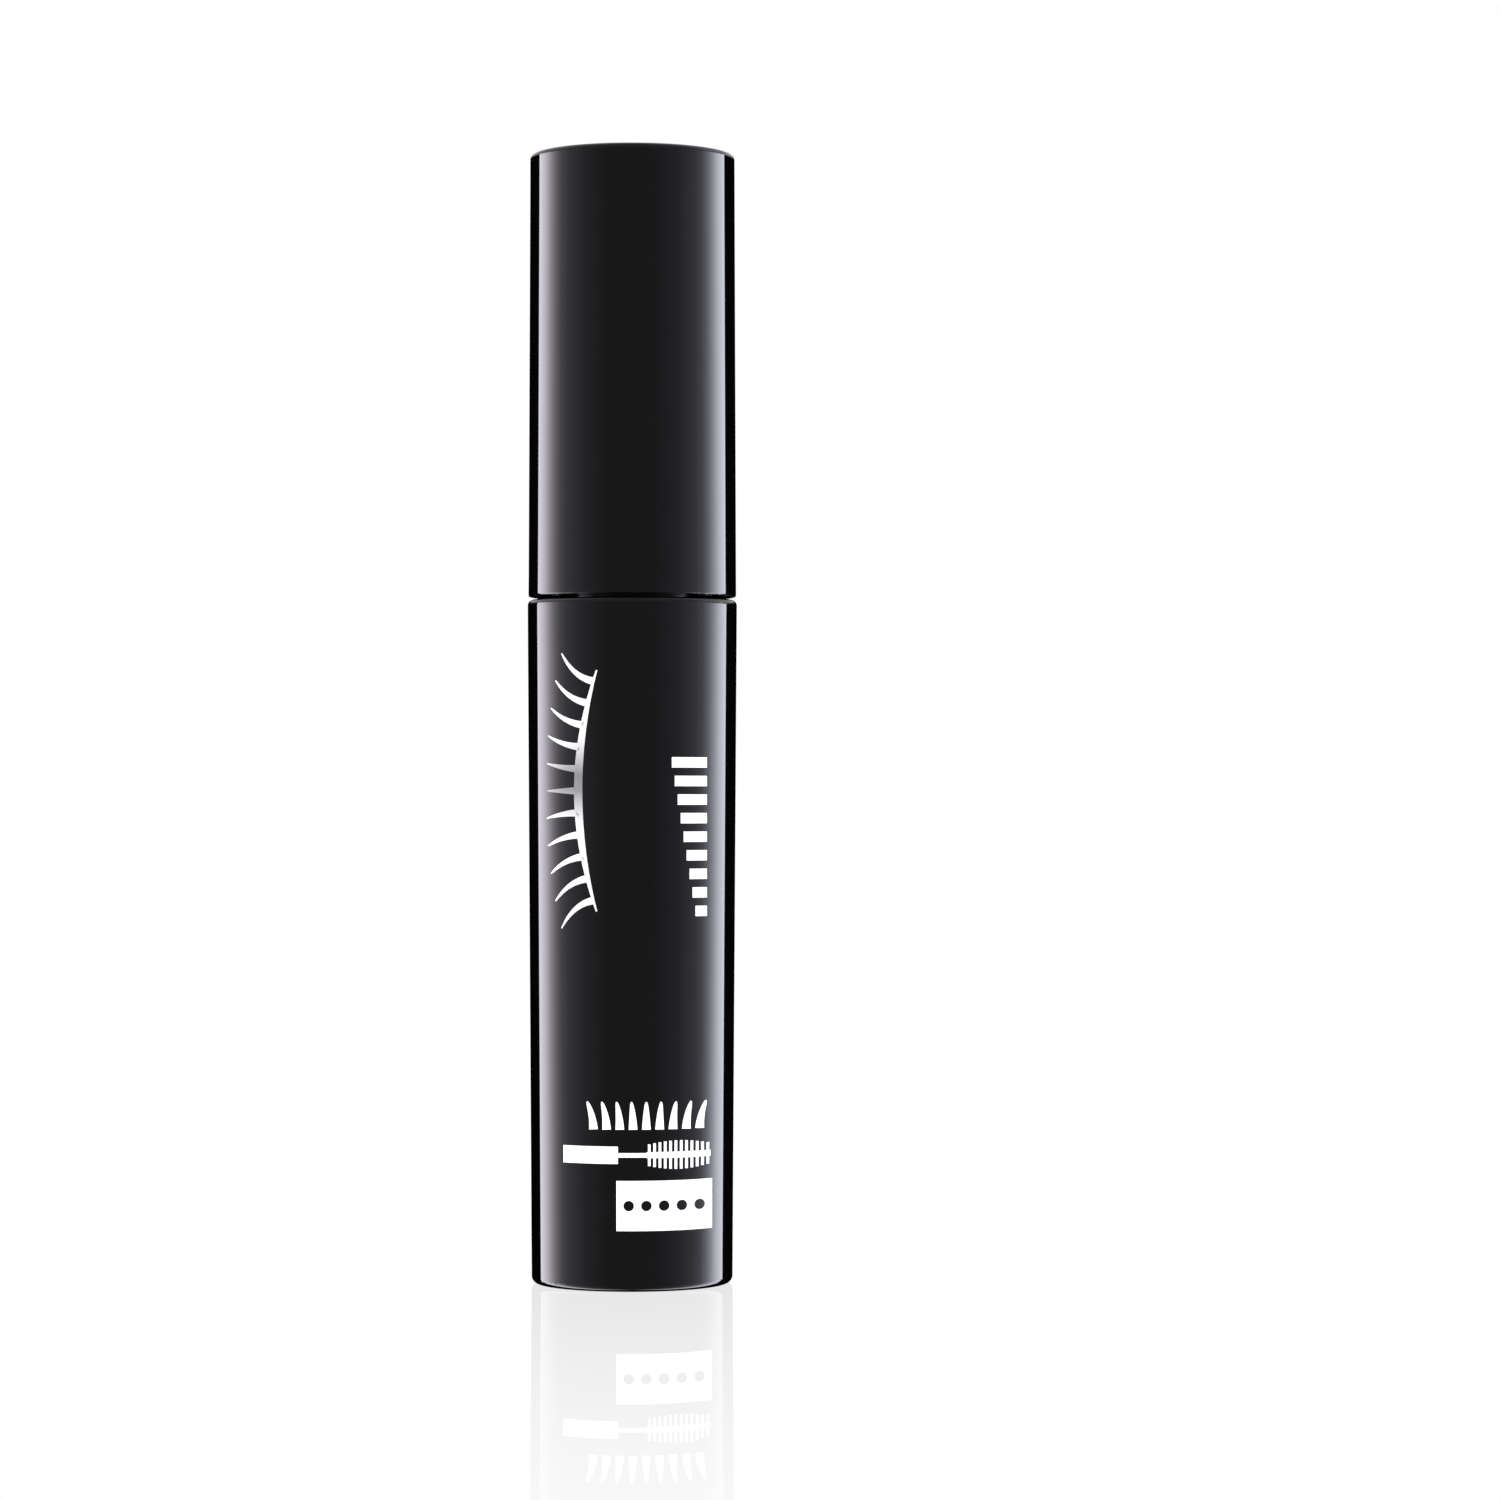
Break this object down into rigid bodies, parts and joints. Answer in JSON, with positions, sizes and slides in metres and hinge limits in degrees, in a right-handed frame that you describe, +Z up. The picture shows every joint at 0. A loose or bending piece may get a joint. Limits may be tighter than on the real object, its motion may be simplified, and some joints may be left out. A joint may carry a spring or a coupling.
{
  "type": "mascara tube",
  "caption": "Slim gloss black cylindrical mascara: screw cap with stem and curved moulded brush, double-walled bottle with threaded neck, wiper and seal.",
  "frame": {"origin": "centre of the underside, on the plane that the bottle stands on", "axes": "+Z up along the tube's axis from base to cap; +X to the right seen from the printed front, which faces -Y; the brush curves in the XZ plane"},
  "size_m": [0.0208, 0.0208, 0.1125],
  "materials": {
    "gloss_black": "polished, piano black",
    "vial_plastic": "plain moulded",
    "liner_plastic": "plain moulded",
    "stem_satin": "satin, smooth",
    "brush_plastic": "satin",
    "brush_elastomer": "satin elastomer",
    "wiper_rubber": "translucent, soft",
    "washer_foam": "soft foam",
    "paste": "wet, glossy",
    "label_paper": "coated paper",
    "silver_foil": "hot-stamped foil, brushed gradient",
    "white_ink": "screen-printed"
  },
  "bodies": {
    "bottle": {"outer_bottle": "gloss_black", "base_label": "label_paper", "inner_vial": "vial_plastic", "mascara_paste": "paste"},
    "wiper_ring": {"wiper": "wiper_rubber"},
    "seal": {"sealing_washer": "washer_foam"},
    "applicator": {"outer_cap": "gloss_black", "inner_cap": "liner_plastic", "stem": "stem_satin", "brush_core": "brush_plastic", "brush_bristles": "brush_elastomer"}
  },
  "joints": [
    {"name": "cap_turn", "type": "hinge", "parent": "bottle", "child": "wiper_ring", "pos_m": [0, 0, 0.0816], "axis": [0, 0, 1], "range_deg": [0, 540]},
    {"name": "wand_pull", "type": "slide", "parent": "wiper_ring", "child": "seal", "axis": [0, 0, 1], "range_m": [0, 0.078], "deforming": ["brush_bristles", "wiper", "mascara_paste"]},
    {"name": "cap_rise", "type": "slide", "parent": "seal", "child": "applicator", "axis": [0, 0, 1], "range_m": [0, 0.0045]}
  ],
  "couplings": [
    {"joint": "cap_rise", "follows": "cap_turn", "m_per_rad": 0.00047746}
  ]
}
